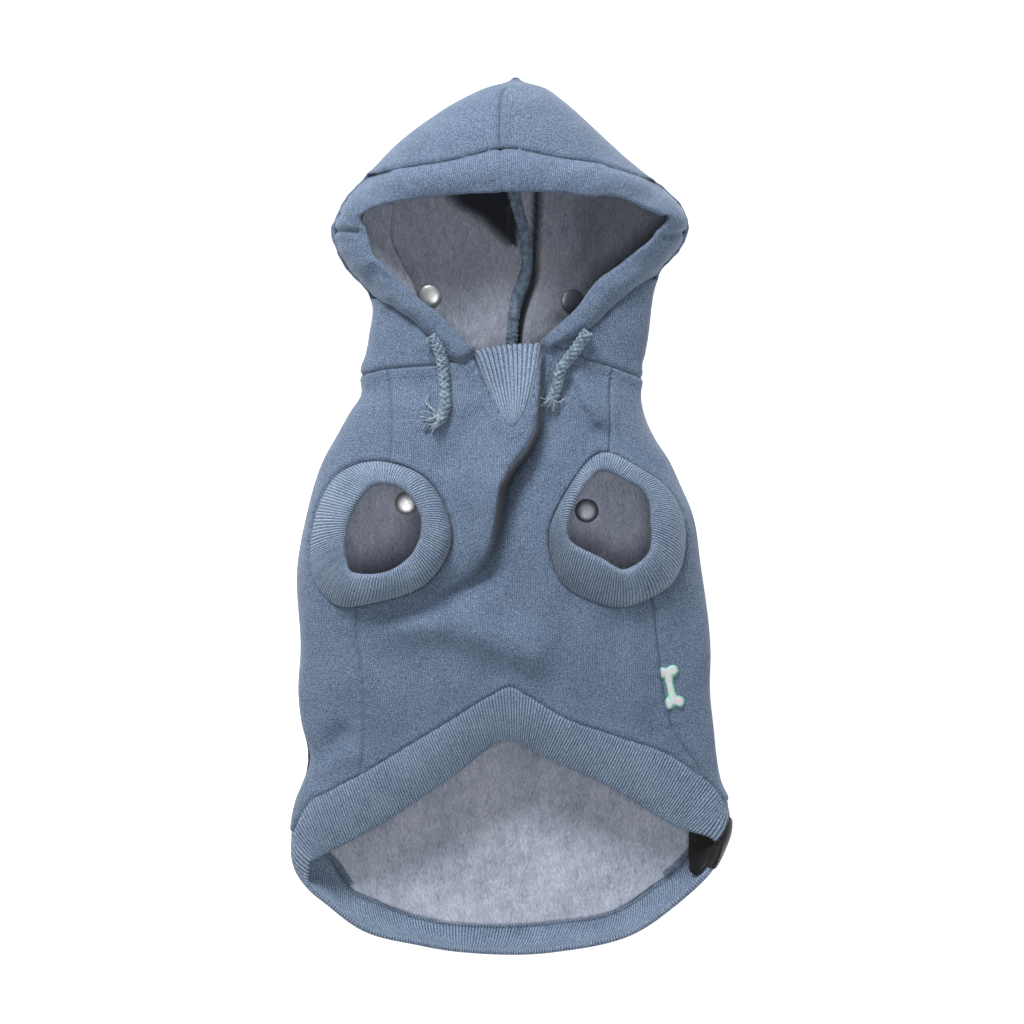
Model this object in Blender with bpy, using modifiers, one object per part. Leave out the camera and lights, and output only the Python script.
"""Dog hoodie lying on its back: a knitted tube with a hood, rib bands, drawcord ends and snaps.

The hood points to +Y, the belly faces +Z and the back rests on z = 0. One tube runs from the waist to the
peak of the hood. Every panel is a stretch of that tube, and every seam line is a small table of shares.
"""
import math

import bmesh
import bpy
import numpy as np
from mathutils import Vector

# Sizes of the whole garment, in metres
BODY_LENGTH = 0.2915
BODY_HALF = 0.10875
HOOD_LENGTH = 0.1485
HOOD_HALF = 0.08925
NECK_HALF = 0.07025
CHEST_HEIGHT = 0.046
CROWN_HEIGHT = 0.050
NECK_HEIGHT = 0.038
FOLD_HEIGHT = 0.014
CENTRE_X = -0.0035

# Cloth, seams and bands
WALL = 0.0025
RIB_WALL = 0.0030
SEAM_GAP = 0.0010
CLEARANCE = 0.0003
CORNER_REACH = 0.0035
HEM_RISE = 0.016
HEM_CURL = 0.0055
CUFF_RISE = 0.013
CASING_PUFF = 0.0022
RIB_PUFF = 0.0012

# Trim
CORD_DIAMETER = 0.006
SNAP_DIAMETER = 0.012
SNAP_THICKNESS = 0.0022
SNAP_POST = 0.0030
BONE_LENGTH = 0.0225
BONE_WIDTH = 0.0125
BONE_SHAFT = 0.0065
BONE_THICKNESS = 0.0020
LABEL_WALL = 0.0010
LABEL_INNER_FLAP = 0.019
LABEL_OUTER_FLAP = 0.015
LABEL_MOST_OF_BAND = 0.90
BONE_FILLET = 0.15

# Shape of the tube: roundness of the upper layer, of the side folds, and how far folds and bands blend
PUFF = 0.85
ROLL = 1.15
ROLL_LIMIT = 0.8
NECK_BLEND = 0.06
LIFT_RATE = 1.6
LIFT_FROM = 0.3
CURL_RATE = 2.5
CURL_FROM = 0.35
HOOD_CROWDING = 1.25
HEM_MIDDLE = 0.78
FACE_MIDDLE = 0.45

# Gaps that keep neighbours apart
INSERT_GAP = 0.0015
INSERT_TIP_GAP = 0.0040
HEM_BAND_GAP = 0.0013
NOTCH_PAST = 0.010
LEG_CUT_FROM = 0.7
FACE_CUT_END = -0.04
LABEL_CLEARANCE = 0.0012
BONE_CLEARANCE = 0.0015

NECK_Y = (BODY_LENGTH - HOOD_LENGTH) / 2

# Outline of the body from the neck (0) to the tail (1): half widths as shares of BODY_HALF, heights as
# shares of CHEST_HEIGHT and FOLD_HEIGHT
BODY_SECTIONS = {
    "along": (0.00, 0.04, 0.07, 0.11, 0.15, 0.19, 0.24, 0.33, 0.48, 0.55, 0.61, 0.66, 0.70, 0.73, 0.78, 0.84),
    "left": (.646, .650, .700, .760, .820, .860, .895, .940, .926, .936, .917, .880, .908, .945, .970, .945),
    "right": (.646, .641, .655, .700, .770, .820, .877, .917, .963, .960, .977, .991, 1.01, 1.04, 1.02, .990),
    "crown": (.840, .900, .930, .970, .990, 1.00, 1.00, .980, .900, .850, .790, .750, .720, .700, .660, .620),
    "fold": (1.00, 1.00, 1.00, 1.00, 1.00, 1.00, 1.00, 1.00, 1.00, 1.00, 1.00, .980, .960, .940, .920, .900),
}

# Outline of the hood from the neck (0) to the peak (1), as shares of HOOD_HALF, CROWN_HEIGHT, FOLD_HEIGHT
HOOD_SECTIONS = {
    "along": (0.0, .11, .28, .34, .41, .48, .53, .58, .65, .71, .78, .85, .92, .96, .983, .997),
    "left": (.787, .748, .759, .854, .922, .955, .922, .882, .776, .686, .569, .417, .232, .092, -.014,
             -.050),
    "right": (.787, .821, .860, .888, .994, 1.045, 1.034, .983, .849, .725, .597, .473, .339, .244, .143,
              .109),
    "crown": (.760, .760, .720, .730, .760, .820, .880, .940, 1.00, .990, .940, .830, .680, .500, .360, .270),
    "fold": (1.00, 1.00, 1.00, 1.00, 1.00, 1.00, 1.00, 1.00, 1.00, .960, .900, .820, .720, .600, .500, .430),
}

# Neck seam on the upper layer: x as a share of HOOD_HALF, y above NECK_Y as a share of HOOD_LENGTH
NECK_SEAM = {
    "x": (-.787, -.653, -.552, -.277, -.176, .221, .283, .501, .641, .793),
    "y": (-.010, .007, .013, .034, .062, .091, .088, .037, .010, -.020),
}

# Rib triangle under the chin, from its top edge to its point
INSERT_SIDES = {
    "y": (.075, -.020, -.104, -.150, -.185),
    "left": (-.176, -.109, -.036, .006, .050),
    "right": (.225, .193, .146, .110, .062),
}

# Side seams on the upper layer, as shares of BODY_LENGTH and BODY_HALF
LEFT_SIDE_SEAM = {
    "along": (-.02, .045, .117, .254, .401, .494, .563, .642, .672, .80),
    "x": (-.530, -.508, -.503, -.568, -.669, -.651, -.632, -.632, -.638, -.66),
}
RIGHT_SIDE_SEAM = {
    "along": (-.02, .034, .084, .144, .271, .391, .475, .573, .625, .676, .80),
    "x": (.512, .499, .501, .499, .591, .692, .722, .761, .802, .901, .95),
}

# Waist: the belly's hem seam, x against distance along
BELLY_HEM = {
    "x": (-.959, -.906, -.786, -.646, -.434, -.232, -.034, .041, .099, .274, .526, .789, .908, .977, 1.021),
    "along": (.791, .751, .719, .691, .643, .597, .552, .540, .551, .591, .625, .662, .693, .715, .738),
}

# Waist: the back's hem seam, from the right corner round to the left one
BACK_HEM = {
    "across": (-1.0, -.96, -.90, -.80, -.64, -.40, -.12, .22, .54, .72, .86, .94, 1.0),
    "x": (-.959, -.880, -.807, -.724, -.591, -.361, -.099, .223, .540, .706, .853, .949, 1.021),
    "along": (.791, .815, .837, .882, .909, .940, .952, .947, .925, .885, .842, .794, .738),
}

# Free edge of the hem band, all the way round from the left corner over the belly and back under it
HEM_EDGE = {
    "turn": (.000, .070, .125, .190, .250, .295, .340, .395, .440, .500, .540, .565, .600, .640, .700,
             .765, .830, .885, .925, .955, 1.0),
    "x": (-.895, -.770, -.531, -.223, .030, .205, .448, .674, .800, .985, 1.005, .960, .784, .600, .232,
          -.103, -.375, -.641, -.811, -.895, -.895),
    "along": (.838, .816, .768, .691, .630, .660, .700, .748, .776, .800, .823, .860, .921, .967, .997,
              .999, .985, .959, .913, .885, .838),
    "rise": (1.15, 1.20, 1.45, 1.75, 1.95, 1.85, 1.70, 1.45, 1.30, 1.20, 1.15, 1.10, 1.05, 1.00, 1.00,
             1.00, 1.00, 1.05, 1.10, 1.15, 1.15),
}

# Padded hem of the hood from its left end over the crown to its right end, as shares of the hood. "rise"
# is the free edge's height as a share of CROWN_HEIGHT
CASING = {
    "seam_x": (-.289, -.437, -.541, -.658, -.759, -.849, -.922, -.955, -.877, -.754, -.518, -.266, -.008,
               .171, .350, .518, .669, .832, .972, 1.045, .972, .888, .770, .641, .513, .395, .289),
    "seam_y": (.040, .138, .192, .234, .276, .337, .411, .478, .586, .657, .684, .705, .744, .732, .710, .700,
               .673, .643, .589, .481, .391, .333, .293, .226, .153, .114, .091),
    "edge_x": (-.171, -.345, -.457, -.580, -.681, -.731, -.767, -.804, -.745, -.664, -.485, -.232, -.003,
               .148, .328, .490, .630, .765, .882, .950, .866, .804, .675, .552, .429, .333, .249),
    "edge_y": (.077, .182, .232, .296, .350, .384, .449, .515, .549, .569, .582, .596, .603, .603, .603, .591,
               .593, .569, .539, .512, .444, .411, .354, .303, .209, .155, .111),
    "rise": (.80, .80, .78, .74, .70, .66, .62, .62, .70, .80, .92, 1.02, 1.08, 1.08, 1.06, 1.02,
             .94, .84, .74, .66, .64, .66, .70, .76, .80, .82, .82),
}

# Leg cuffs: where each is sewn in and where its free edge lies, clockwise from the neck side, as shares of
# the body. "rise" scales CUFF_RISE
CUFFS = {
    "left": {
        "seam_x": (-.559, -.352, -.246, -.237, -.352, -.559, -.743, -.853, -.880, -.844, -.743),
        "seam_y": (.153, .182, .245, .305, .365, .393, .402, .365, .314, .233, .173),
        "edge_x": (-.549, -.448, -.375, -.370, -.425, -.536, -.687, -.724, -.729, -.701, -.628),
        "edge_y": (.190, .201, .240, .280, .319, .345, .345, .317, .288, .244, .202),
        "rise": (.80, .90, 1.0, 1.1, 1.1, 1.1, 1.0, .90, .80, .80, .80),
    },
    "right": {
        "seam_x": (.460, .632, .789, .848, .789, .577, .384, .260, .218, .315),
        "seam_y": (.139, .171, .216, .283, .360, .402, .388, .352, .274, .199),
        "edge_x": (.462, .582, .674, .692, .683, .563, .444, .310, .292, .361),
        "edge_y": (.168, .185, .213, .254, .309, .341, .321, .293, .254, .196),
        "rise": (.70, .80, .80, .90, 1.0, 1.1, 1.1, 1.0, .90, .80),
    },
}

# Centre seam of the hood, outside over the crown and inside down the back
CROWN_SEAM = {
    "along": (0.0, .11, .60, .75, .86, .94, .98, 1.0),
    "x": (.053, .020, -.006, -.008, -.008, .012, .055, .080),
}
NAPE_SEAM = {
    "along": (0.0, .08, .24, .36, .48, .60, .85, 1.0),
    "x": (.053, .056, .081, .143, .123, .070, .060, .080),
}

# Folds of the upper layer: a ridge from one point to another, with its height and reach as shares of
# CHEST_HEIGHT. "steep" narrows the side that falls away to the right
FOLDS = (
    {"name": "chest fold, top", "from": (.215, .030),
     "to": (.160, .090), "height": .07, "reach": .28, "steep": .8},
    {"name": "chest fold, middle", "from": (.150, .100),
     "to": (.000, .200), "height": .12, "reach": .32, "steep": .7},
    {"name": "chest fold, foot", "from": (-.010, .215),
     "to": (-.090, .310), "height": .09, "reach": .30, "steep": .8},
    {"name": "soft fold", "from": (.330, .030),
     "to": (.430, .080), "height": .05, "reach": .26, "steep": 1},
    {"name": "belly ridge", "from": (-.50, .445),
     "to": (.130, .490), "height": .09, "reach": .30, "steep": .8},
    {"name": "left hem crease", "from": (-.878, .655),
     "to": (-.700, .625), "height": -.08, "reach": .14, "steep": 1},
)

SNAPS = {
    "hood_left": (-.406, .261),
    "hood_right": (.401, .239),
    "back_left": (-.439, .225),
    "back_right": (.393, .238),
}
BONE_PLACE = (.777, .540)
BONE_TURN = math.radians(12)
LABEL_TURNS = (.515, .568)

# Drawcord ends as they lie on the chest, from the casing to the free end: x as a share of HOOD_HALF, y
# above NECK_Y as a share of HOOD_LENGTH
CORD_ROUTES = {
    "left": {"x": (-.3955, -.3585, -.3350, -.3238, -.3171, -.3148, -.3384),
             "y": (.1145, .0842, .0404, -.0101, -.0640, -.1145, -.1616)},
    "right": {"x": (.4784, .4336, .3776, .3283, .3160, .2947, .2779),
              "y": (.1327, .0909, .0451, .0047, -.0337, -.0694, -.1044)},
}
CORD_LIFT = (0.55, 0.35, 0.10, 0.05, 0.0, 0.0, 0.0)
CORD_STEP = 2.2 * CORD_DIAMETER

# How finely the pieces are divided
BELLY_GRID = (23, 26)
BACK_GRID = (15, 30)
HOOD_GRID = (15, 18)
INSERT_GRID = (6, 7)
BAND_SHARES = (0.0, 0.33, 0.67, 1.0)
HEM_SHARES = (0.0, 0.25, 0.5, 0.75, 1.0)
HEM_STEPS = 60
CUFF_STEPS = 30
CASING_STEPS = 58
CORD_ROUND_STEPS = 2
ROUND_STEPS = 14
FIRST_GUESS = 0.5
SETTLING_ROUNDS = 14

CLOTH_BLUE = (0.115, 0.155, 0.230)
RIB_BLUE = (0.185, 0.245, 0.340)
CORD_BLUE = (0.150, 0.200, 0.260)


def clear_scene():
    for obj in list(bpy.data.objects):
        bpy.data.objects.remove(obj)


def new_collection(name, shown=True):
    made = bpy.data.collections.new(name)
    bpy.context.scene.collection.children.link(made)
    made.hide_render = not shown
    return made


def material(name, colour, roughness=0.9, metallic=0.0):
    made = bpy.data.materials.new(name)
    made.use_nodes = True
    shader = made.node_tree.nodes["Principled BSDF"]
    shader.inputs["Base Color"].default_value = (*colour, 1)
    shader.inputs["Roughness"].default_value = roughness
    shader.inputs["Metallic"].default_value = metallic
    return made


def smooth(keys, values, at):
    """A curve through the rows of a table, flat past its ends."""
    keys = np.asarray(keys, float)
    values = np.asarray(values, float)
    slopes = np.gradient(values, keys)
    at = np.asarray(at, float)
    row = np.clip(np.searchsorted(keys, at) - 1, 0, len(keys) - 2)
    step = keys[row + 1] - keys[row]
    t = np.clip((at - keys[row]) / step, 0, 1)
    rise = values[row + 1] - values[row]
    bend = slopes[row] * step * t * (1 - t) ** 2 - slopes[row + 1] * step * t**2 * (1 - t)
    return values[row] + rise * t * t * (3 - 2 * t) + bend


def around(values, turn):
    """The same for a closed loop whose rows are evenly spaced, with turn from 0 to 1."""
    count = len(values)
    keys = np.arange(-2, count + 3)
    looped = [values[key % count] for key in keys]
    return smooth(keys, looped, np.asarray(turn) % 1 * count)


def ease(t):
    t = np.clip(t, 0, 1)
    return t * t * (3 - 2 * t)


def body_y(along):
    return NECK_Y - np.asarray(along) * BODY_LENGTH


def hood_y(along):
    return NECK_Y + np.asarray(along) * HOOD_LENGTH


def body_x(share):
    return CENTRE_X + np.asarray(share) * BODY_HALF


def hood_x(share):
    return CENTRE_X + np.asarray(share) * HOOD_HALF


def section(y):
    """Left edge, right edge, crown height and side fold height of the tube at y."""
    y = np.asarray(y, float)
    down = (NECK_Y - y) / BODY_LENGTH
    up = (y - NECK_Y) / HOOD_LENGTH
    on_hood = up > 0
    found = []
    for column, body_size, hood_size in (
        ("left", BODY_HALF, HOOD_HALF),
        ("right", BODY_HALF, HOOD_HALF),
        ("crown", CHEST_HEIGHT, CROWN_HEIGHT),
        ("fold", FOLD_HEIGHT, FOLD_HEIGHT),
    ):
        body = smooth(BODY_SECTIONS["along"], BODY_SECTIONS[column], down) * body_size
        hood = smooth(HOOD_SECTIONS["along"], HOOD_SECTIONS[column], up) * hood_size
        neck = {"left": NECK_HALF, "right": NECK_HALF, "crown": NECK_HEIGHT, "fold": FOLD_HEIGHT}[column]
        away = np.where(on_hood, up, down) / NECK_BLEND
        found.append(neck + (np.where(on_hood, hood, body) - neck) * ease(away))
    left, right, crown, fold = found
    return CENTRE_X - left, CENTRE_X + right, crown, fold


def fold_height(x, y):
    """How far the folds lift the upper layer at a place."""
    lift = np.zeros(np.broadcast(x, y).shape)
    for fold in FOLDS:
        ax, ay = body_x(fold["from"][0]), body_y(fold["from"][1])
        bx, by = body_x(fold["to"][0]), body_y(fold["to"][1])
        length = math.hypot(bx - ax, by - ay)
        ux, uy = (bx - ax) / length, (by - ay) / length
        on = (x - ax) * ux + (y - ay) * uy
        off = (y - ay) * ux - (x - ax) * uy
        reach = fold["reach"] * CHEST_HEIGHT
        side = np.where(off > 0, reach * fold["steep"], reach)
        ends = np.maximum(np.maximum(-on, on - length), 0) / reach
        lift = lift + fold["height"] * CHEST_HEIGHT * np.exp(-((off / side) ** 2) - ends**2)
    return lift


def tube(theta, y):
    """Points of the outer face: theta 0 is the left fold, a quarter turn on is the belly's middle."""
    left, right, crown, fold = section(y)
    middle, half = (left + right) / 2, (right - left) / 2
    across = -np.cos(theta)
    x = middle + half * across
    bulge = np.abs(np.sin(theta)) ** PUFF
    upper = fold + (crown - fold) * bulge + fold_height(x, y) * ease(bulge * LIFT_RATE - LIFT_FROM)
    roll = np.minimum(ROLL * fold, ROLL_LIMIT * half)
    rolled = np.clip(1 - half * (1 - np.abs(across)) / roll, 0, 1)
    lower = fold * (1 - np.sqrt(1 - rolled**2))
    return x, y, np.where(np.sin(theta) >= 0, upper, lower)


def turn_at(x, y):
    """Theta of a place on the upper layer."""
    left, right, _, _ = section(y)
    across = (np.asarray(x) - (left + right) / 2) / ((right - left) / 2)
    return np.arccos(np.clip(-across, -1, 1))


def top(x, y):
    """Height of the upper layer at a place."""
    return tube(turn_at(x, y), np.asarray(y, float))[2]


def neck_line(x):
    return hood_y(smooth(NECK_SEAM["x"], NECK_SEAM["y"], (x - CENTRE_X) / HOOD_HALF))


def nape_line(theta):
    """The neck seam on the lower layer, from one side fold to the other."""
    left, right = NECK_SEAM["y"][0], NECK_SEAM["y"][-1]
    return hood_y(left + (right - left) * (1 - np.cos(theta)) / 2)


def belly_hem(x):
    return body_y(smooth(BELLY_HEM["x"], BELLY_HEM["along"], (x - CENTRE_X) / BODY_HALF))


def back_hem(theta):
    """Place of the back's hem seam on the lower layer."""
    across = -np.cos(theta)
    keys = BACK_HEM["across"]
    return body_x(smooth(keys, BACK_HEM["x"], across)), body_y(smooth(keys, BACK_HEM["along"], across))


def grid_of(x, y, z):
    return np.stack(np.broadcast_arrays(x, y, z), axis=-1)


def seam_theta(table, y, gap):
    along = (NECK_Y - y) / BODY_LENGTH
    return turn_at(body_x(smooth(table["along"], table["x"], along)) + gap, y)


def belly_grid():
    rows, columns = BELLY_GRID
    down = np.linspace(0, 1, rows + 1)[:, None]
    across = np.linspace(0, 1, columns + 1)[None, :]
    y = body_y(FIRST_GUESS * down + 0 * across)
    for _ in range(SETTLING_ROUNDS):
        first = seam_theta(LEFT_SIDE_SEAM, y, SEAM_GAP / 2)
        last = seam_theta(RIGHT_SIDE_SEAM, y, -SEAM_GAP / 2)
        theta = first + (last - first) * across
        x = tube(theta, y)[0]
        upper, lower = neck_line(x) - SEAM_GAP / 2, belly_hem(x) + SEAM_GAP / 2
        y = upper + (lower - upper) * down
    return grid_of(*tube(theta, y))


def back_grid():
    """From the right side seam round the back to the left side seam."""
    rows, columns = BACK_GRID
    down = np.linspace(0, 1, rows + 1)[:, None]
    share = np.linspace(0, 1, columns + 1)[None, :]
    y = body_y(FIRST_GUESS * down + 0 * share)
    for _ in range(SETTLING_ROUNDS):
        first = seam_theta(RIGHT_SIDE_SEAM, y, SEAM_GAP / 2)
        last = seam_theta(LEFT_SIDE_SEAM, y, -SEAM_GAP / 2) + 2 * math.pi
        theta = first + (last - first) * share
        x = tube(theta, y)[0]
        under = np.sin(theta) < 0
        hem_x, hem_y = back_hem(theta)
        upper = np.where(under, nape_line(theta), neck_line(x)) - SEAM_GAP / 2
        lower = np.where(under, hem_y, belly_hem(x)) + SEAM_GAP / 2
        y = upper + (lower - upper) * down
    x, y, z = tube(theta, y)
    pull = np.where(under, ease((down - 0.5) / 0.5), 0)
    x = x + pull * (hem_x - tube(theta, hem_y)[0])
    return grid_of(x, y, z)


def hood_grid(side):
    """From the crown seam round the side fold and the back to the nape seam."""
    rows, columns = HOOD_GRID
    up = np.linspace(0, 1, rows + 1)[:, None]
    up = 1 - (1 - up) ** HOOD_CROWDING
    share = np.linspace(0, 1, columns + 1)[None, :]
    peak = hood_y(HOOD_SECTIONS["along"][-1])
    gap = SEAM_GAP / 2 * side
    y = hood_y(FIRST_GUESS * up + 0 * share)
    for _ in range(SETTLING_ROUNDS):
        along = (y - NECK_Y) / HOOD_LENGTH
        first = turn_at(hood_x(smooth(CROWN_SEAM["along"], CROWN_SEAM["x"], along)) + gap, y)
        nape = turn_at(hood_x(smooth(NAPE_SEAM["along"], NAPE_SEAM["x"], along)) + gap, y)
        last = -nape if side < 0 else 2 * math.pi - nape
        theta = first + (last - first) * share
        x = tube(theta, y)[0]
        lower = np.where(np.sin(theta) < 0, nape_line(theta), neck_line(x)) + SEAM_GAP / 2
        y = lower + (peak - lower) * up
    return grid_of(*tube(theta, y))


def insert_grid():
    rows, columns = INSERT_GRID
    down = np.linspace(0, 1, rows + 1)[:, None]
    across = np.linspace(0, 1, columns + 1)[None, :]
    sides = INSERT_SIDES
    tip = sides["y"][-1] + INSERT_TIP_GAP / HOOD_LENGTH
    share = sides["y"][0] + (tip - sides["y"][0]) * down
    keys = [-value for value in sides["y"]]
    left = hood_x(np.interp(-share, keys, sides["left"])) + INSERT_GAP
    right = hood_x(np.interp(-share, keys, sides["right"])) - INSERT_GAP
    half = np.maximum(right - left, SEAM_GAP) / 2
    x = (left + right) / 2 + half * (2 * across - 1)
    y = hood_y(share + 0 * across)
    y = y + (neck_line(x) - y) * (1 - down) ** 3
    return grid_of(x, y, top(x, y))


def normals(grid, wraps):
    """Unit normals of a grid of points."""
    if wraps:
        along = np.roll(grid, -1, axis=0) - np.roll(grid, 1, axis=0)
    else:
        along = np.gradient(grid, axis=0)
    across = np.gradient(grid, axis=1)
    normal = np.cross(along, across)
    return normal / np.maximum(np.linalg.norm(normal, axis=-1, keepdims=True), 1e-12)


def band_grid(seam, edge, puff, wraps, inside, shares=BAND_SHARES):
    """A strip from its seam to its free edge, bulging away from a point inside."""
    share = np.asarray(shares)[None, :, None]
    flat = seam[:, None, :] + (edge - seam)[:, None, :] * np.array((0, 0.5, 1))[None, :, None]
    normal = normals(flat, wraps)[:, 1]
    if ((flat[:, 1] - inside) * normal).sum() < 0:
        normal = -normal
    swell = (normal * np.reshape(puff, (-1, 1)))[:, None, :]
    return seam[:, None, :] + (edge - seam)[:, None, :] * share + swell * 4 * share * (1 - share)


def hem_middle():
    return np.array((CENTRE_X, body_y(HEM_MIDDLE), HEM_RISE))


def hem_loops(turn):
    """The seam and the free edge of the hem band at turns of 0 to 1 from the left corner."""
    theta = turn * 2 * math.pi
    y = body_y(FIRST_GUESS + 0 * turn)
    for _ in range(SETTLING_ROUNDS):
        y = belly_hem(tube(theta, y)[0])
    x, y, z = tube(theta, y)
    hem_x, hem_y = back_hem(theta)
    lower = tube(theta, hem_y)[2]
    under = np.sin(theta) < -1e-9
    seam = grid_of(np.where(under, hem_x, x), np.where(under, hem_y, y), np.where(under, lower, z))
    keys = HEM_EDGE["turn"]
    edge = grid_of(
        body_x(smooth(keys, HEM_EDGE["x"], turn)),
        body_y(smooth(keys, HEM_EDGE["along"], turn)),
        HEM_RISE * smooth(keys, HEM_EDGE["rise"], turn),
    )
    away = edge - seam
    seam = seam + away * HEM_BAND_GAP / np.linalg.norm(away, axis=1, keepdims=True)
    seam[:, 2] = np.maximum(seam[:, 2], 0)
    return seam, edge


def hem_grid(turn, wraps, shares=HEM_SHARES):
    seam, edge = hem_loops(turn)
    under = ease(CURL_FROM - CURL_RATE * np.sin(turn * 2 * math.pi))
    puff = RIB_PUFF + (HEM_CURL - RIB_PUFF) * under
    return band_grid(seam, edge, puff, wraps, hem_middle(), shares)


def cuff_loops(side):
    table = CUFFS[side]
    turn = np.linspace(0, 1, CUFF_STEPS, endpoint=False)
    loops = []
    for name in ("seam", "edge"):
        x = body_x(around(table[name + "_x"], turn))
        y = body_y(around(table[name + "_y"], turn))
        loops.append((x, y))
    rise = CUFF_RISE * around(table["rise"], turn)
    return loops[0], loops[1], rise


def shrunk(x, y, by):
    """A flat loop drawn in by a length, or let out by a negative one."""
    cx, cy = x.mean(), y.mean()
    reach = np.hypot(x - cx, y - cy)
    return cx + (x - cx) * (reach - by) / reach, cy + (y - cy) * (reach - by) / reach


def cuff_grid(side):
    seam, edge, rise = cuff_loops(side)
    x, y = shrunk(*seam, SEAM_GAP)
    seam = grid_of(x, y, top(x, y))
    edge = grid_of(*edge, top(*edge) + rise)
    inside = np.array((*seam.mean(axis=0)[:2], 0))
    return band_grid(seam, edge, RIB_PUFF, True, inside)


def casing_loops(steps):
    keys = np.arange(len(CASING["rise"]))
    at = np.linspace(0, len(keys) - 1, steps + 1)
    seam_x = hood_x(smooth(keys, CASING["seam_x"], at))
    seam_y = hood_y(smooth(keys, CASING["seam_y"], at))
    edge_x = hood_x(smooth(keys, CASING["edge_x"], at))
    edge_y = hood_y(smooth(keys, CASING["edge_y"], at))
    return seam_x, seam_y, edge_x, edge_y, CROWN_HEIGHT * smooth(keys, CASING["rise"], at)


def casing_grid():
    seam_x, seam_y, edge_x, edge_y, rise = casing_loops(CASING_STEPS)
    drawn = SEAM_GAP / np.hypot(edge_x - seam_x, edge_y - seam_y)
    x = seam_x + (edge_x - seam_x) * drawn
    y = seam_y + (edge_y - seam_y) * drawn
    left, right, _, fold = section(y)
    on_left, on_right = x < left + CORNER_REACH, x > right - CORNER_REACH
    x = np.where(on_left, left, np.where(on_right, right, x))
    seam = grid_of(x, y, np.where(on_left | on_right, fold + SEAM_GAP, top(x, y)))
    edge = grid_of(edge_x, edge_y, rise)
    inside = np.array((CENTRE_X, hood_y(FACE_MIDDLE), 0))
    return band_grid(seam, edge, CASING_PUFF, False, inside)


def mesh_object(name, mesh, collection, finish=None):
    obj = bpy.data.objects.new(name, mesh)
    collection.objects.link(obj)
    if finish:
        mesh.materials.append(finish)
    return obj


def cloth(name, grid, wall, collection, finish, wraps=False, inside=None, outwards=False):
    """A sheet through a grid of points with a wall on its inner side."""
    rows, columns = grid.shape[:2]
    mesh = bpy.data.meshes.new(name)
    work = bmesh.new()
    points = [[work.verts.new(point) for point in row] for row in grid.tolist()]
    for row in range(rows if wraps else rows - 1):
        after = (row + 1) % rows
        for column in range(columns - 1):
            work.faces.new((points[row][column], points[row][column + 1],
                            points[after][column + 1], points[after][column]))
    centre = grid.reshape(-1, 3).mean(axis=0) if inside is None else np.asarray(inside)
    work.normal_update()
    middle = Vector(centre)
    facing = 0
    for face in work.faces:
        facing += (face.calc_center_median() - middle).dot(face.normal) * face.calc_area()
    if facing < 0:
        bmesh.ops.reverse_faces(work, faces=work.faces)
    work.to_mesh(mesh)
    work.free()
    mesh.shade_smooth()
    obj = mesh_object(name, mesh, collection, finish)
    solid = obj.modifiers.new("wall", "SOLIDIFY")
    solid.thickness = wall
    solid.offset = 1 if outwards else -1
    solid.use_even_offset = True
    solid.use_quality_normals = True
    return obj


def prism(name, x, y, low, high, collection):
    """A cutter with an upright wall along a flat loop."""
    mesh = bpy.data.meshes.new(name)
    work = bmesh.new()
    face = work.faces.new([work.verts.new((px, py, low)) for px, py in zip(x, y)])
    moved = bmesh.ops.extrude_face_region(work, geom=[face])["geom"]
    corners = [corner for corner in moved if isinstance(corner, bmesh.types.BMVert)]
    bmesh.ops.translate(work, verts=corners, vec=(0, 0, high - low))
    bmesh.ops.recalc_face_normals(work, faces=work.faces)
    work.to_mesh(mesh)
    work.free()
    obj = mesh_object(name, mesh, collection)
    obj.display_type = "WIRE"
    obj.hide_render = True
    return obj


def cut(obj, cutter):
    boolean = obj.modifiers.new("cut " + cutter.name, "BOOLEAN")
    boolean.operation = "DIFFERENCE"
    boolean.solver = "EXACT"
    boolean.object = cutter


def face_cutter(collection):
    """The face opening, let out past both side folds and over the neck."""
    seam_x, seam_y, _, _, _ = casing_loops(2 * len(CASING["rise"]) - 2)
    left, right, _, fold = section(seam_y)
    x = np.where(seam_x < left + CORNER_REACH, left - 2 * CORNER_REACH, seam_x)
    x = np.where(seam_x > right - CORNER_REACH, right + 2 * CORNER_REACH, x)
    end = float(hood_y(FACE_CUT_END))
    x = np.append(x, (x[-1], x[0]))
    y = np.append(seam_y, (end, end))
    return prism("face_opening", x, y, FOLD_HEIGHT - SEAM_GAP, 2 * CROWN_HEIGHT, collection)


def insert_cutter(collection):
    """The notch for the rib triangle, a seam's gap wider than it."""
    sides = INSERT_SIDES
    ends = hood_y(sides["y"][0]) + NOTCH_PAST
    left, right = hood_x(sides["left"]), hood_x(sides["right"])
    x = [left[0], *left, *right[::-1], right[0]]
    y = [ends, *hood_y(sides["y"]), *hood_y(sides["y"][::-1]), ends]
    return prism("insert_notch", x, y, CHEST_HEIGHT / 4, 2 * CHEST_HEIGHT, collection)


def leg_cutter(side, collection):
    seam, _, _ = cuff_loops(side)
    return prism("leg_hole_" + side, *seam, LEG_CUT_FROM * FOLD_HEIGHT, 2 * CHEST_HEIGHT, collection)


def disc(x, y, radius, steps=ROUND_STEPS):
    angle = np.arange(steps) * 2 * math.pi / steps
    return x + radius * np.cos(angle), y + radius * np.sin(angle)


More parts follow.
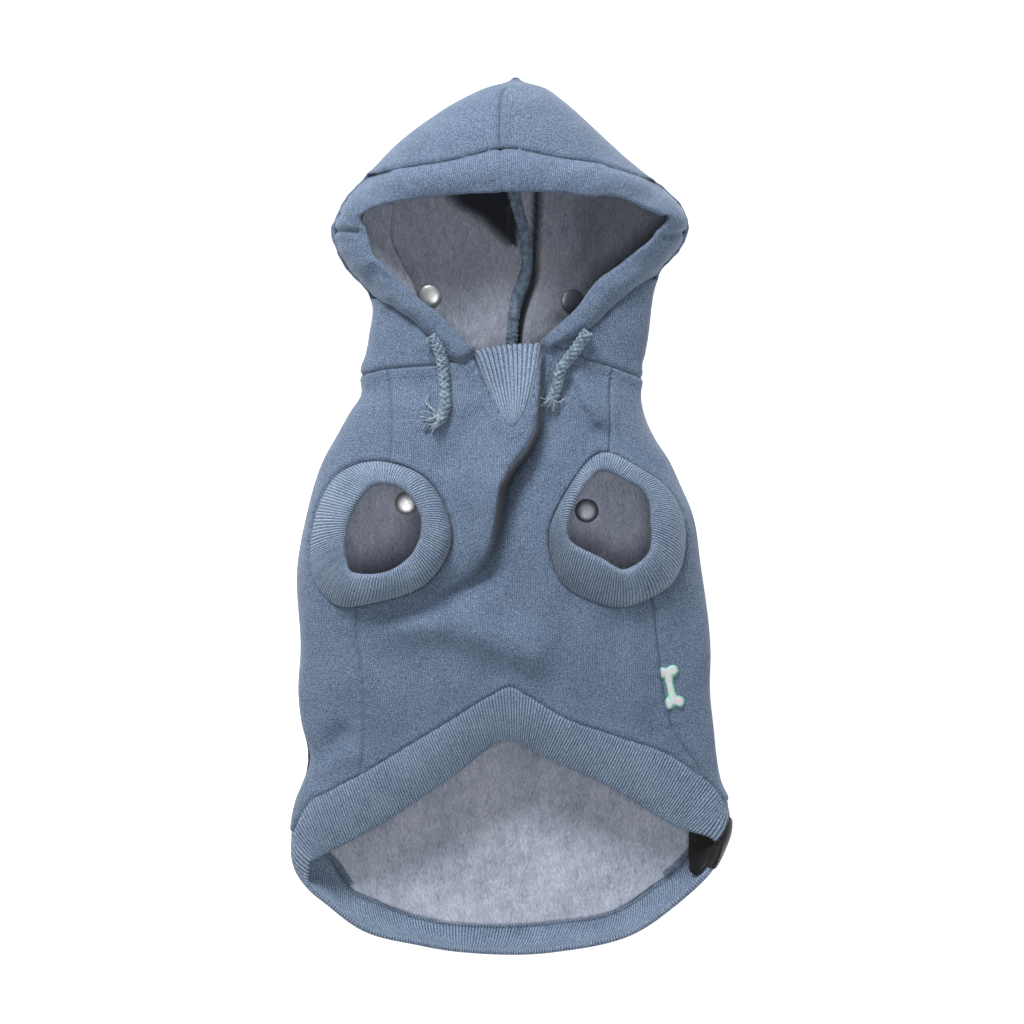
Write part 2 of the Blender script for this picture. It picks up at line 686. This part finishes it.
def snap(name, x, y, collection, finish):
    """A domed cap on the inner face of the wall, with its post through the cloth."""
    seat = WALL + CLEARANCE
    radius, post = SNAP_DIAMETER / 2, SNAP_POST / 2
    profile = (
        (0, seat + SNAP_THICKNESS),
        (0.45 * radius, seat + 0.93 * SNAP_THICKNESS),
        (0.80 * radius, seat + 0.70 * SNAP_THICKNESS),
        (radius, seat + 0.30 * SNAP_THICKNESS),
        (radius, seat),
        (post, seat),
        (post, CLEARANCE),
        (0, CLEARANCE),
    )
    mesh = bpy.data.meshes.new(name)
    mesh.from_pydata([(r, 0, z) for r, z in profile], [(i, i + 1) for i in range(len(profile) - 1)], [])
    obj = mesh_object(name, mesh, collection, finish)
    obj.location = (x, y, 0)
    turned = obj.modifiers.new("turned", "SCREW")
    turned.steps = ROUND_STEPS
    turned.render_steps = ROUND_STEPS
    turned.use_merge_vertices = True
    turned.merge_threshold = 0.00005
    turned.use_smooth_shade = True
    return obj


def rest_height(x, y, radius):
    """Height of a ball's middle where it rests on the upper layer."""
    highest = top(x, y) + radius
    for angle in np.arange(8) * math.pi / 4:
        for share in (0.4, 0.8):
            around_x, around_y = x + share * radius * math.cos(angle), y + share * radius * math.sin(angle)
            highest = np.maximum(highest, top(around_x, around_y) + radius * math.sqrt(1 - share**2))
    return highest


def drawcord(side, collection, finish):
    table = CORD_ROUTES[side]
    route = np.column_stack((hood_x(table["x"]), hood_y(table["y"])))
    radius = CORD_DIAMETER / 2
    z = rest_height(route[:, 0], route[:, 1], radius) + radius * np.array(CORD_LIFT) + CLEARANCE
    points = np.column_stack((route, z))
    reach = np.append(0, np.cumsum(np.linalg.norm(np.diff(points, axis=0), axis=1)))
    at = np.linspace(0, reach[-1], 2 + int(reach[-1] / CORD_STEP) * 2)
    curve = bpy.data.curves.new("drawcord_" + side, "CURVE")
    curve.dimensions = "3D"
    curve.bevel_depth = radius
    curve.bevel_resolution = CORD_ROUND_STEPS
    curve.use_fill_caps = True
    spline = curve.splines.new("POLY")
    spline.points.add(len(at) - 1)
    for index, distance in enumerate(at):
        place = [float(smooth(reach, points[:, axis], distance)) for axis in range(3)]
        spline.points[index].co = (*place, 1)
    curve.materials.append(finish)
    obj = bpy.data.objects.new("drawcord_" + side, curve)
    collection.objects.link(obj)
    return obj


def bone_tag(collection, finish):
    """Four round lobes and a shaft, lying along the side seam and tilted with the cloth."""
    lobe = BONE_WIDTH / 4
    end = BONE_LENGTH / 2 - lobe
    shaft = BONE_SHAFT / 2
    meets = math.asin((lobe - shaft + lobe * BONE_FILLET) / lobe) if shaft < lobe else 0.3
    outline = []
    for cx, cy, first, last in (
        (lobe, end, -math.pi / 2 + meets, math.pi * 0.75),
        (-lobe, end, math.pi * 0.25, math.pi * 1.5 - meets),
        (-lobe, -end, math.pi / 2 + meets, math.pi * 1.75),
        (lobe, -end, math.pi * 1.25, math.pi * 2.5 - meets),
    ):
        for angle in np.linspace(first, last, 7):
            outline.append((cx + lobe * math.cos(angle), cy + lobe * math.sin(angle)))
    curve = bpy.data.curves.new("bone_tag", "CURVE")
    curve.dimensions = "2D"
    curve.fill_mode = "BOTH"
    curve.extrude = BONE_THICKNESS / 2
    spline = curve.splines.new("POLY")
    spline.points.add(len(outline) - 1)
    for point, place in zip(spline.points, outline):
        point.co = (*place, 0, 1)
    spline.use_cyclic_u = True
    curve.materials.append(finish)
    obj = bpy.data.objects.new("bone_tag", curve)
    collection.objects.link(obj)
    x, y = float(body_x(BONE_PLACE[0])), float(body_y(BONE_PLACE[1]))
    reach = BONE_WIDTH / 2
    slope_x = float(top(x + reach, y) - top(x - reach, y)) / (2 * reach)
    slope_y = float(top(x, y + reach) - top(x, y - reach)) / (2 * reach)
    obj.rotation_euler = (math.atan(slope_y), -math.atan(slope_x), BONE_TURN)
    obj.location = (x, y, float(top(x, y)) + BONE_THICKNESS / 2 + BONE_CLEARANCE)
    return obj


def hem_label(collection, finish):
    """A strip folded over the free edge of the hem band."""
    steps = np.arange(round(LABEL_TURNS[0] * HEM_STEPS), round(LABEL_TURNS[1] * HEM_STEPS) + 1)
    turn = steps / HEM_STEPS
    width = np.linalg.norm(np.subtract(*hem_loops(turn)), axis=1).mean()
    outer_root = 1 - min(LABEL_OUTER_FLAP / width, LABEL_MOST_OF_BAND)
    inner_root = 1 - min(LABEL_INNER_FLAP / width, LABEL_MOST_OF_BAND)
    outer = hem_grid(turn, False, [outer_root, *(share for share in HEM_SHARES if share > outer_root)])
    inner = hem_grid(turn, False, [inner_root, *(share for share in HEM_SHARES if share > inner_root)])
    clear = LABEL_CLEARANCE + LABEL_WALL
    walls = []
    for grid, lift in ((outer, clear), (inner, -RIB_WALL - clear)):
        normal = normals(grid, False)
        if ((grid - hem_middle()) * normal).sum() < 0:
            normal = -normal
        walls.append(grid + normal * lift)
    way = outer[:, -1] - outer[:, -2]
    way = way / np.linalg.norm(way, axis=1, keepdims=True)
    corners = [walls[0][:, -1:] + way[:, None] * clear, walls[1][:, -1:] + way[:, None] * clear]
    wrap = np.concatenate((walls[0][:, :-1], corners[0], corners[1], walls[1][:, -2::-1]), axis=1)
    centre = (walls[0][:, -1] + walls[1][:, -1]).mean(axis=0) / 2
    return cloth("hem_label", wrap, LABEL_WALL, collection, finish, inside=centre)


def main():
    clear_scene()
    hoodie = new_collection("dog_hoodie")
    cutters = new_collection("cutters", shown=False)
    middle = (CENTRE_X, 0, CHEST_HEIGHT / 2)
    knitted = ("belly_panel", "back_panel", "hood_left", "hood_right", "hood_casing")
    knit = {name: material(name, CLOTH_BLUE) for name in knitted}
    ribbed = ("neck_insert", "cuff_left", "cuff_right", "hem_band")
    rib = {name: material(name, RIB_BLUE) for name in ribbed}

    belly = cloth("belly_panel", belly_grid(), WALL, hoodie, knit["belly_panel"], inside=(CENTRE_X, 0, 0))
    back = cloth("back_panel", back_grid(), WALL, hoodie, knit["back_panel"], inside=middle)
    legs = [leg_cutter(side, cutters) for side in CUFFS]
    cut(belly, insert_cutter(cutters))
    for leg in legs:
        cut(belly, leg)
        cut(back, leg)

    face = face_cutter(cutters)
    nape = (CENTRE_X, hood_y(FACE_MIDDLE), FOLD_HEIGHT)
    halves = {}
    for side, name in ((-1, "hood_left"), (1, "hood_right")):
        halves[name] = cloth(name, hood_grid(side), WALL, hoodie, knit[name], inside=nape)
        cut(halves[name], face)
    face_middle = (CENTRE_X, hood_y(FACE_MIDDLE), 0)
    cloth("hood_casing", casing_grid(), RIB_WALL, hoodie, knit["hood_casing"], inside=face_middle)
    cloth("neck_insert", insert_grid(), RIB_WALL, hoodie, rib["neck_insert"], inside=(CENTRE_X, 0, 0))

    for side in CUFFS:
        grid = cuff_grid(side)
        low = (*grid.reshape(-1, 3).mean(axis=0)[:2], 0)
        cloth("cuff_" + side, grid, RIB_WALL, hoodie, rib["cuff_" + side], wraps=True, inside=low)
    turns = np.linspace(0, 1, HEM_STEPS, endpoint=False)
    cloth("hem_band", hem_grid(turns, True), RIB_WALL, hoodie, rib["hem_band"], wraps=True,
          inside=hem_middle())

    steel = material("snap", (0.62, 0.62, 0.63), 0.28, 1.0)
    carriers = {"hood_left": halves["hood_left"], "hood_right": halves["hood_right"], "back_left": back,
                "back_right": back}
    for name, (across, along) in SNAPS.items():
        on_hood = name.startswith("hood")
        x = float(hood_x(across) if on_hood else body_x(across))
        y = float(hood_y(along) if on_hood else body_y(along))
        hole = prism("post_hole_" + name, *disc(x, y, SNAP_POST / 2 + CLEARANCE), -WALL, 2 * WALL, cutters)
        cut(carriers[name], hole)
        snap("snap_" + name, x, y, hoodie, steel)

    for side in CORD_ROUTES:
        drawcord(side, hoodie, material("drawcord_" + side, CORD_BLUE, 0.85))
    bone_tag(hoodie, material("bone_tag", (0.20, 0.42, 0.38), 0.6))
    hem_label(hoodie, material("hem_label", (0.010, 0.009, 0.009), 0.75))


main()
